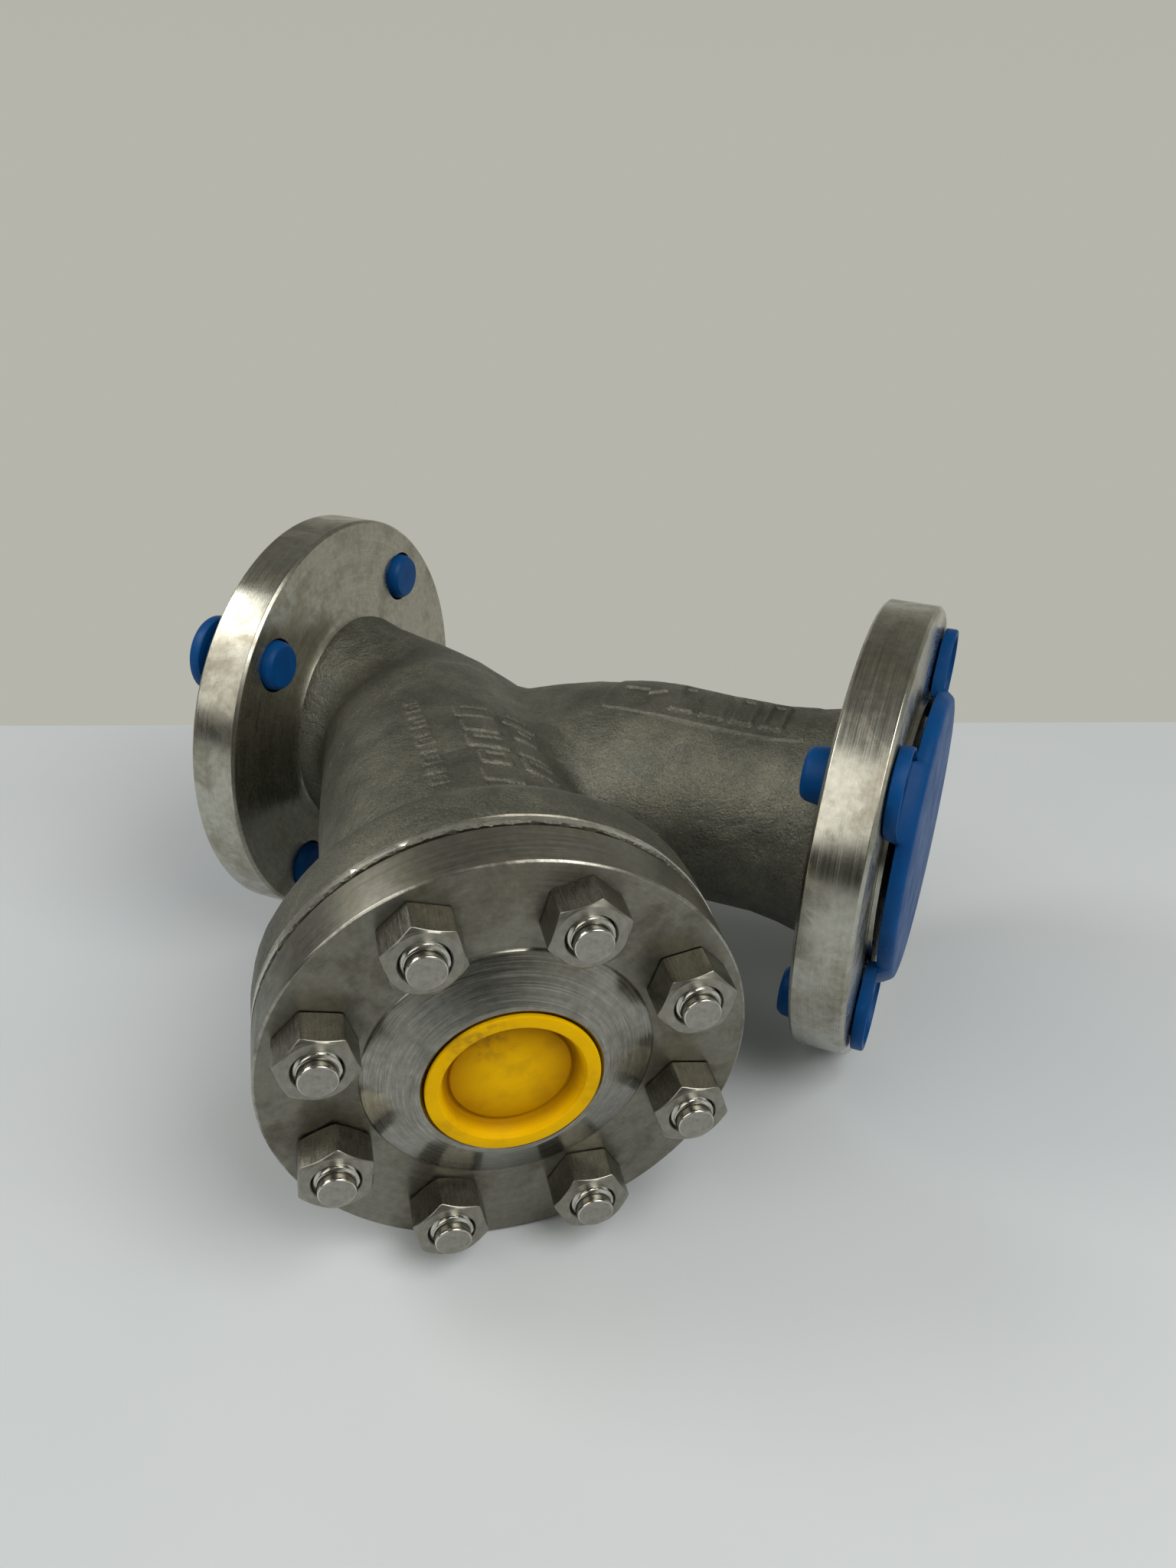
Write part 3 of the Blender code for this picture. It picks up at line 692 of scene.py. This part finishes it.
def marked_zone(points):
    """True where the blank cast marks lie, which need a finer mesh."""
    arc, station, leg_up, run_arc, run_station, run_up = mark_positions(points)
    on_leg = leg_up & (arc > -12) & (arc < 37) & (station > 47) & (station < 113)
    on_run = run_up & (np.abs(run_arc) < 15) & (run_station > 76) & (run_station < 148)
    return on_leg | on_run


def cast_marks(points):
    """Relief of the blank cast marks, in millimetres: plain bars and pads, and a flow arrow."""
    arc, station, leg_up, run_arc, run_station, run_up = mark_positions(points)
    relief = np.zeros(len(points))
    lean = 0.05 * (station - 84)
    small = [(2.8, 2.2, 3.0), (3.0, 2.3, 1.0), (2.6, 1.3, 3.0), (3.0, 2.3, 1.0)]
    for n in range(10):
        across, wide, wall = small[n % 4]
        block = frame_block(arc - lean, station, (-6.3, 52.0 + 6.2 * n), (across, wide), wall)
        relief = np.maximum(relief, 0.50 * block)
    large = [(6.6, 4.5, 2.0), (6.0, 4.4, 4.5), (6.7, 4.5, 2.1), (5.0, 4.0, 2.0), (6.5, 4.5, 4.6)]
    for column, centre in ((0, 12.5), (2, 28.0)):
        for n in range(5):
            across, wide, wall = large[(n + column) % 5]
            block = frame_block(arc - lean, station, (centre, 64.0 + 10.6 * n), (across, wide), wall)
            relief = np.maximum(relief, 0.85 * block)
    relief = relief * leg_up
    pad = 0.50 * soft_block(run_arc, run_station, (0, 113), (13.5, 36), 3.0)
    bars = np.zeros(len(points))
    for centre, half, wall in ((105.0, 4.0, 2.0), (115.5, 4.1, 4.1), (126.0, 4.0, 2.0), (136.5, 4.1, 2.1)):
        bars = np.maximum(bars, frame_block(run_arc, run_station, (-2.0, centre), (8.2, half), wall))
    shaft = soft_block(run_arc, run_station, (0, 88.5), (1.0, 6.5))
    head = np.clip(0.5 - (np.abs(run_arc) - (97.5 - run_station) * 0.62), 0, 1) * (run_station > 91.5)
    arrow = np.maximum(shaft, head * (run_station < 98))
    return relief + (pad + 1.15 * np.maximum(bars, 0.8 * arrow)) * run_up


def refine_marks(mesh):
    bm = bmesh.new()
    bm.from_mesh(mesh)
    bm.verts.ensure_lookup_table()
    zone = marked_zone(np.array([v.co for v in bm.verts]))
    edges = [e for e in bm.edges if zone[e.verts[0].index] and zone[e.verts[1].index]]
    bmesh.ops.subdivide_edges(bm, edges=edges, cuts=3, use_grid_fill=True)
    bmesh.ops.triangulate(bm, faces=[f for f in bm.faces if len(f.verts) > 4])
    bm.to_mesh(mesh)
    bm.free()


def roughen(mesh):
    """Slow waves, small lumps and blank marks of a sand-cast, blasted surface."""
    refine_marks(mesh)
    points = get_points(mesh)
    points, normals = on_surface(points)
    waves = ((0.20, 50), (0.12, 140), (0.07, 360))
    lift = np.array([sum(height * noise.noise(p * scale) for height, scale in waves)
                     for p in (Vector(q) for q in points)])
    set_points(mesh, points + normals * (lift + cast_marks(points))[:, None] * MM)


# ---------------------------------------------------------------- cover, studs and nuts

def places_on(radius, angles):
    return [(radius * math.cos(a), radius * math.sin(a)) for a in angles]


def bolt_places(turn=0.0):
    return places_on(BOLT_CIRCLE, [math.radians(45 + 90 * k) + turn for k in range(4)])


def stud_places():
    return places_on(STUD_CIRCLE, [math.radians(112.5 - 45 * k) for k in range(8)])


def cover():
    """Turned cover with a spigot, stud holes and a conical drain boss."""
    corners = [(31.5, 160, 0.3), (35.4, 160, 0.5), (35.4, COVER_BACK, 0.3),
               (BRANCH_RADIUS - 0.8, COVER_BACK, 0.2), (BRANCH_RADIUS, COVER_BACK + 0.8, 0.2),
               (BRANCH_RADIUS, COVER_FACE - 0.6, 0.2),
               (BRANCH_RADIUS - 0.6, COVER_FACE, 0.2), (39.3, COVER_FACE, 0.3), (38.9, COVER_FACE + 0.6, 0.3),
               (25.6, BOSS_TOP, 0.3), (24.3, BOSS_TOP, 0.2), (22.6, BOSS_TOP - 1.7, 0.2), (22.6, 168, 0.2),
               (31.5, 168, 0.2)]
    bm = lathe(rounded(corners, 3), 224)
    for face in bm.faces:
        middle = face.calc_center_median() / MM
        radius = math.hypot(middle.x, middle.y)
        leaning = 0.2 < abs(face.normal.z) < 0.95
        if radius > BRANCH_RADIUS - 1.5 and middle.z > COVER_FACE - 2 and leaning:
            face.material_index = 2
        elif radius < 39.2 and middle.z > COVER_FACE + 0.3:
            face.material_index = 1
    made = to_object("cover_plate", bm, LEG, finishes=[COVER_FINISH, BOSS_FINISH, EDGE_FINISH, BORED])
    holes = bmesh.new()
    for centre in stud_places():
        lathe(plug_outline(STUD_HOLE_RADIUS, COVER_BACK - 3, COVER_FACE + 3), 40, centre, bm=holes)
    cut(made, holes, LEG, BORED)
    shade(made, 25)
    return finish_piece(made, "cover", "turned_steel", "cover")


def nut(index, place):
    """Hexagon nut about its own local Z, chamfered at both ends and countersunk."""
    half = NUT_FLATS / 2
    sides = 96
    turn = math.radians(NUT_TURNS_DEG[index])
    angles = [math.tau * k / sides for k in range(sides)]
    sixth = math.pi / 3
    hexagon = [min(half / math.cos((a + sixth / 2) % sixth - sixth / 2), half * 1.139) for a in angles]
    chamfer = half * 0.955

    def ring(radii, heights):
        return [bm.verts.new(polar(r, a + turn, z)) for r, a, z in zip(radii, angles, heights)]

    def level(radius, height):
        return ring([radius] * sides, [height] * sides)

    bm = bmesh.new()
    drop = [(r - chamfer) * 0.55 for r in hexagon]
    foot_chamfer = 0.6 if index in NUTS_CHAMFERED_BELOW else 0.1
    foot = [d * foot_chamfer for d in drop]
    rings = [level(6.3, 0.7), level(6.9, 0.0), level(9.0, 0.0), ring(hexagon, foot),
             ring(hexagon, [d + 0.25 for d in foot]), ring(hexagon, [NUT_HEIGHT - d - 0.18 for d in drop]),
             ring([r - 0.11 for r in hexagon], [NUT_HEIGHT - d for d in drop]), level(chamfer, NUT_HEIGHT),
             level(6.75, NUT_HEIGHT), level(6.6, NUT_HEIGHT - 0.12), level(6.3, NUT_HEIGHT - 0.9)]
    flats = (3, 4)
    for number, (first, second) in enumerate(zip(rings, rings[1:] + rings[:1])):
        for k in range(sides):
            after = (k + 1) % sides
            face = bm.faces.new((first[k], first[after], second[after], second[k]))
            face.material_index = 0 if number in flats else 1
    bmesh.ops.recalc_face_normals(bm, faces=bm.faces)
    matrix = LEG @ Matrix.Translation((place[0] * MM, place[1] * MM, NUT_BASE * MM))
    made = to_object(f"hex_nut_{index + 1}", bm, matrix, 24, [NUT_SIDE, NUT_FACE])
    return finish_piece(made, f"nut_{index + 1}", "nut_steel", f"nut_{index + 1}")


def stud_radius(height, share):
    """Radius of a stud at a height and a share of a turn: rolled thread, then a smooth rounded end."""
    pitch, crest, root, smooth = 1.75, 5.98, 4.98, 5.08
    phase = (height / pitch - share) % 1.0
    wave = min(1.0, max(0.0, 1.35 * (1 - abs(2 * phase - 1)) - 0.12))
    thread = root + (crest - root) * wave
    fade = min(1.0, max(0.0, (STUD_END - 2.9 - height) / 0.5))
    radius = smooth + (thread - smooth) * fade
    tip = min(1.0, max(0.0, (STUD_END - height) / 0.8))
    return radius - 0.42 * (1 - math.sqrt(1 - (1 - tip) ** 2))


def stud(index, place):
    """Stud with a rolled M12 x 1.75 thread and a rounded, faced end."""
    segments = 48
    low, step, end_step = 150.0, 0.15, 0.1
    end_start = STUD_END - 1.0
    heights = [low + step * n for n in range(int((end_start - low) / step))]
    heights += [end_start + end_step * n for n in range(11)]
    bm = bmesh.new()
    rings = [[bm.verts.new(polar(stud_radius(height, k / segments), math.tau * k / segments, height))
              for k in range(segments)] for height in heights]
    for radius, lift in ((4.35, 0.0), (3.9, -0.05), (3.6, 0.0), (2.4, 0.0), (2.1, -0.05), (1.8, 0.0),
                         (0.8, 0.0)):
        rings.append([bm.verts.new(polar(radius, math.tau * k / segments, STUD_END + lift))
                      for k in range(segments)])
    for first, second in zip(rings, rings[1:]):
        for k in range(segments):
            after = (k + 1) % segments
            bm.faces.new((first[k], first[after], second[after], second[k]))
    bm.faces.new(rings[-1])
    bm.faces.new(list(reversed(rings[0])))
    bm.normal_update()
    for face in bm.faces:
        if face.normal.z > 0.9 and face.calc_center_median().z > (STUD_END - 0.3) * MM:
            face.material_index = 1
    matrix = LEG @ Matrix.Translation((place[0] * MM, place[1] * MM, 0))
    made = to_object(f"threaded_stud_{index + 1}", bm, matrix, 50, [STUD_FINISH, STUD_FACE])
    return finish_piece(made, "casing", "stud_steel", f"stud_{index + 1}")


# ---------------------------------------------------------------- plug and protectors

def drain_plug():
    """Push-in cup with a raised lip and a shallow floor."""
    corners = [(0, 184.1), (12, 184.0), (16.2, 183.7, 0.4), (16.6, 182.6, 0.3), (17.3, 182.6, 0.3),
               (19.4, 188.2, 0.5), (23.2, 188.2, 0.5), (23.2, 186.9, 0.3), (22.0, 185.2, 0.3),
               (21.2, 172, 0.3), (19.4, 172, 0.3), (18.2, 180.8, 0.5), (0, 181.2)]
    made = to_object("plug_cup", lathe(rounded(corners, 4), 128), LEG, 40, [YELLOW])
    return finish_piece(made, "drain_plug", "yellow_plastic", "drain_plug")


def ear_reach(turn):
    """Plan outline of a protector: the disc's radius, or the end of an ear across this direction."""
    centre, half = 60.0, 13.5
    off = (turn + math.pi / 4) % (math.pi / 2) - math.pi / 4
    side = abs(math.sin(off))
    if side * centre < half:
        tip = centre * math.cos(off) + math.sqrt(max(0.0, half ** 2 - (centre * side) ** 2))
        straight = half / side if side > 1e-6 else 1e9
        reach = min(tip, straight) if math.cos(off) * straight < centre else tip
    else:
        reach = half / side
    return max(GUARD_RADIUS, reach)


def protector(end, matrix):
    """Moulded flange protector: a crowned disc with four ears that carry hollow pegs."""
    segments = 320
    bm = bmesh.new()
    top = bm.verts.new((0, 0, 7.9 * MM))
    under = bm.verts.new((0, 0, 5.4 * MM))
    columns = []
    for k in range(segments):
        turn = math.tau * k / segments
        reach = ear_reach(turn - math.pi / 4)
        ear = min(1.0, (reach - GUARD_RADIUS) / 3.0)
        ear = ear * ear * (3 - 2 * ear)
        columns.append([bm.verts.new(polar(r, turn, z)) for r, z in protector_ray(reach, ear)])
    for first, second in zip(columns, columns[1:] + columns[:1]):
        bm.faces.new((top, first[0], second[0]))
        bm.faces.new((under, second[-1], first[-1]))
        for a, b, c, d in zip(first, first[1:], second[1:], second):
            bm.faces.new((a, b, c, d))
    bmesh.ops.recalc_face_normals(bm, faces=bm.faces)
    made = to_object(f"{end}_guard", bm, matrix, 40, [BLUE])
    pegs, hollows = bmesh.new(), bmesh.new()
    tip = -RAISED_HEIGHT - FLANGE_RIM - PEG_PROTRUSION
    for centre in bolt_places():
        peg = rounded([(0, 0.8), (9.2, 0.8), (9.2, tip + 7, 1.5), (8.35, tip + 1.4, 0.6), (7.2, tip, 0.3),
                       (0, tip)], 4)
        lathe(peg, 48, centre, bm=pegs)
        hollow = rounded([(0, 4), (7.9, 4), (7.4, 0.5, 1.0), (6.4, tip + 1.8, 0.8), (0, tip + 1.8)], 4)
        lathe(hollow, 48, centre, bm=hollows)
    combine(made, to_object("pegs", pegs, matrix), "UNION")
    combine(made, to_object("hollows", hollows, matrix), "DIFFERENCE")
    shade(made, 40)
    return finish_piece(made, f"{end}_protector", "blue_plastic", f"{end}_protector")


def protector_ray(reach, ear):
    """Section of a protector from its centre outward, as (radius, height); ear runs from 0 to 1."""
    floor, tray, wall = -1.0, 1.4, 2.9
    step = 47.2 + ear
    outer = [(14, 7.85), (28, 7.7), (40, 7.45), (46.2, 7.2), (47.6, 6.9), (48.4, 6.1)]
    skirt = [(48.9, 4.6), (49.0, 3.4), (49.0, 2.4), (48.8, 2.2), (47.4, 2.2), (47.0, 2.4), (46.8, 3.4),
             (46.8, 4.4)]
    bridge = [(step + 1.6, tray + 2.6), (step + 2.6, tray + 0.5), (reach - 3.2, tray),
              (reach - 2.3, tray + 0.4), (reach - 1.9, wall), (reach - 0.4, wall), (reach, wall - 0.5),
              (reach, floor + 0.3)]
    mixed = [(a[0] + (b[0] - a[0]) * ear, a[1] + (b[1] - a[1]) * ear) for a, b in zip(skirt, bridge)]
    back = [(reach - 0.3 - 1.6 * (1 - ear), floor + 3.2 * (1 - ear)),
            (46.9, floor + 3.4 * (1 - ear) + 0.2 * ear), (46.8, 4.4 - 4.0 * ear), (46.3, 5.0), (40, 5.2),
            (28, 5.3)]
    return outer + mixed + back


# ---------------------------------------------------------------- screen

def screen_tube():
    """Rolled tube with straight rows of round holes, plain at its ends, and a collar round each end."""
    inner, outer = SCREEN_RADIUS - SCREEN_WALL, SCREEN_RADIUS
    across, rows = 36, 31
    hole = 1.55
    low, high = SCREEN_START + RING_LENGTH + 1, SCREEN_END - RING_LENGTH - 1
    pitch_a = math.tau / across
    pitch_h = (high - low) / rows
    bm = bmesh.new()
    points = {}

    def vertex(angle, height, radius):
        """The vertex at a place, shared by all the faces that meet there."""
        key = (round(angle % math.tau * 1e4) % round(math.tau * 1e4), round(height * 1e3), radius)
        if key not in points:
            points[key] = bm.verts.new(polar(radius, angle, height))
        return points[key]

    corners = 8
    for row in range(rows):
        for column in range(across):
            centre_a = (column + 0.5) * pitch_a
            centre_h = low + (row + 0.5) * pitch_h
            square, circle = [], []
            for n in range(corners):
                angle = math.tau * n / corners + math.pi / 4
                dx, dy = math.cos(angle), math.sin(angle)
                grow = 1 / max(abs(dx), abs(dy))
                square.append((centre_a + dx * grow * pitch_a / 2, centre_h + dy * grow * pitch_h / 2))
                circle.append((centre_a + dx * hole / outer, centre_h + dy * hole))
            for radius, order in ((outer, 1), (inner, -1)):
                for n in range(corners):
                    m = (n + 1) % corners
                    loop = [vertex(*square[n], radius), vertex(*square[m], radius),
                            vertex(*circle[m], radius), vertex(*circle[n], radius)]
                    bm.faces.new(loop[::order])
            for n in range(corners):
                m = (n + 1) % corners
                bm.faces.new((vertex(*circle[m], outer), vertex(*circle[m], inner),
                              vertex(*circle[n], inner), vertex(*circle[n], outer)))
    for start, end, rim in ((SCREEN_START, low, SCREEN_START), (high, SCREEN_END, SCREEN_END)):
        for k in range(across * 2):
            a, b = k * pitch_a / 2, (k + 1) * pitch_a / 2
            for strip in (((start, outer), (end, outer)), ((end, inner), (start, inner)),
                          ((rim, inner), (rim, outer))):
                (h0, r0), (h1, r1) = strip
                bm.faces.new((vertex(a, h0, r0), vertex(b, h0, r0), vertex(b, h1, r1), vertex(a, h1, r1)))
    bmesh.ops.recalc_face_normals(bm, faces=bm.faces)
    made = to_object("perforated_tube", bm, LEG, 40, [SCREEN_FINISH])
    finish_piece(made, "screen", "screen_steel", "screen_tube")
    for name, low in (("screen_top_ring", SCREEN_START), ("screen_bottom_ring", SCREEN_END - RING_LENGTH)):
        high = low + RING_LENGTH
        corners = [(28.8, low, 0.3), (31, low, 0.5), (31, high, 0.5), (28.8, high, 0.3)]
        collar = lathe(rounded(corners + corners[:1], 3)[:-1], 96)
        finish_piece(to_object(f"{name}_collar", collar, LEG, 40, [SCREEN_FINISH]), "screen", "screen_steel",
                     name)


# ---------------------------------------------------------------- stage, light and camera

def backdrop():
    """Pale floor whose far edge meets a wall-coloured background."""
    edge = Vector((0.110, 0.3235, 0))
    across = Vector((0.901, 0.433, 0)).normalized()
    toward = Vector((across.y, -across.x, 0))
    reach = 4.0
    far = [edge - across * reach, edge + across * reach]
    near = [p + toward * reach * 2 for p in far]
    bm = bmesh.new()
    bm.faces.new([bm.verts.new(p) for p in (far[0], near[0], near[1], far[1])])
    bmesh.ops.recalc_face_normals(bm, faces=bm.faces)
    floor = to_object("floor", bm)
    made = Shader("pale_floor", (0.60, 0.635, 0.66), 0.38, 0.0, Specular_IOR_Level=0.35)
    place = made.local()
    cloud = made.noise(place, 5.0, 3.0, 0.5)
    made.link(made.mix(made.ramp(cloud, 0.3, 0.7), (0.585, 0.62, 0.65), (0.62, 0.65, 0.675)), "Base Color")
    floor.data.materials.append(made.material)


def world_light():
    """Soft room: pale walls, a dark zone behind the camera and three bright panels above it.

    The side beyond the inlet is dark as well, which leaves the lower half of that flange's rim dull.
    """
    world = bpy.data.worlds.new("studio")
    bpy.context.scene.world = world
    world.use_nodes = True
    tree = world.node_tree
    background = tree.nodes["Background"]

    def node(kind, inputs, output=0, **settings):
        return add_node(tree, kind, inputs, output, **settings)

    direction = node("ShaderNodeTexCoord", {}, output=0)
    split = tree.nodes.new("ShaderNodeSeparateXYZ")
    tree.links.new(direction, split.inputs[0])

    def toward(where, low, high):
        """1 near a direction, 0 away from it, between two cosines."""
        dot = node("ShaderNodeVectorMath", {0: direction, 1: where}, output=1, operation="DOT_PRODUCT")
        return node("ShaderNodeMapRange", {"Value": dot, "From Min": low, "From Max": high},
                    interpolation_type="SMOOTHSTEP")

    def levels(stops):
        """Brightness by the height of the direction."""
        ramp = tree.nodes.new("ShaderNodeValToRGB")
        tree.links.new(split.outputs[2], ramp.inputs[0])
        while len(ramp.color_ramp.elements) < len(stops):
            ramp.color_ramp.elements.new(0.5)
        for element, (position, level) in zip(ramp.color_ramp.elements, stops):
            element.position = position
            element.color = (level, level, level * 0.89, 1)
        return ramp.outputs[0]

    room = levels([(0.0, 0.462), (0.12, 0.455), (0.30, 0.30), (1.0, 0.14)])
    behind = levels([(0.0, 0.06), (0.18, 0.04), (0.40, 0.20), (1.0, 0.14)])
    rear = toward((0.00, -0.99, 0.10), 0.48, 0.74)
    mixed = node("ShaderNodeMix", {0: rear, 6: room, 7: behind}, output=2, data_type="RGBA")
    for where, low, high, level in (((-0.36, -0.72, 0.60), 0.90, 0.935, 1.9),
                                    ((-0.62, -0.58, 0.53), 0.93, 0.955, 1.6),
                                    ((0.80, -0.30, 0.50), 0.93, 0.96, 0.6),
                                    ((-1.0, -0.20, -0.10), 0.72, 0.93, 0.19)):
        panel = (level, level * 0.98, level * 0.92, 1)
        mixed = node("ShaderNodeMix", {0: toward(where, low, high), 6: mixed, 7: panel}, output=2,
                     data_type="RGBA")
    tree.links.new(mixed, background.inputs["Color"])
    background.inputs["Strength"].default_value = 1.0


def soft_light(name, place, size, power):
    """Square area light that faces the object."""
    light = bpy.data.lights.new(name, "AREA")
    light.size = size
    light.energy = power
    light.color = (1, 0.99, 0.96)
    made = bpy.data.objects.new(name, light)
    made.location = place
    made.rotation_euler = (-Vector(place)).to_track_quat("-Z", "Y").to_euler()
    bpy.context.scene.collection.objects.link(made)


def camera():
    """Standing close in front, above and to the right, tilted by a degree and a half."""
    place = Vector((0.1503, -0.3109, 0.2835))
    target = Vector((-0.0019, 0.0722, 0.0600))
    roll = math.radians(1.555)
    data = bpy.data.cameras.new("camera")
    data.sensor_width = 36.0
    data.lens = 27.956
    data.clip_start = 0.01
    made = bpy.data.objects.new("camera", data)
    made.location = place
    aim = (target - place).to_track_quat("-Z", "Y").to_matrix().to_4x4()
    made.rotation_euler = (aim @ Matrix.Rotation(roll, 4, "Z")).to_euler()
    bpy.context.scene.collection.objects.link(made)
    bpy.context.scene.camera = made


def main():
    casting()
    cover()
    for index, place in enumerate(stud_places()):
        stud(index, place)
        nut(index, place)
    gasket = frame["nodes"]["gasket"].data
    gasket.materials.clear()
    gasket.materials.append(GASKET_FINISH)
    screen_tube()
    drain_plug()
    straddle = RUN @ Matrix.Rotation(DIP, 4, "Z")
    protector("outlet", straddle @ Matrix.Translation((0, 0, OUTLET_FACE * MM)))
    protector("inlet", straddle @ Matrix.Translation((0, 0, (INLET_FACE - INLET_GUARD_SLIP) * MM))
              @ Matrix.Rotation(math.pi, 4, "Y"))
    backdrop()
    world_light()
    soft_light("right", (0.85, -0.30, 1.10), 0.9, 12.0)
    soft_light("left", (-0.95, -0.25, 0.95), 0.5, 5.0)
    camera()
    bpy.context.scene.view_settings.view_transform = "Standard"


main()
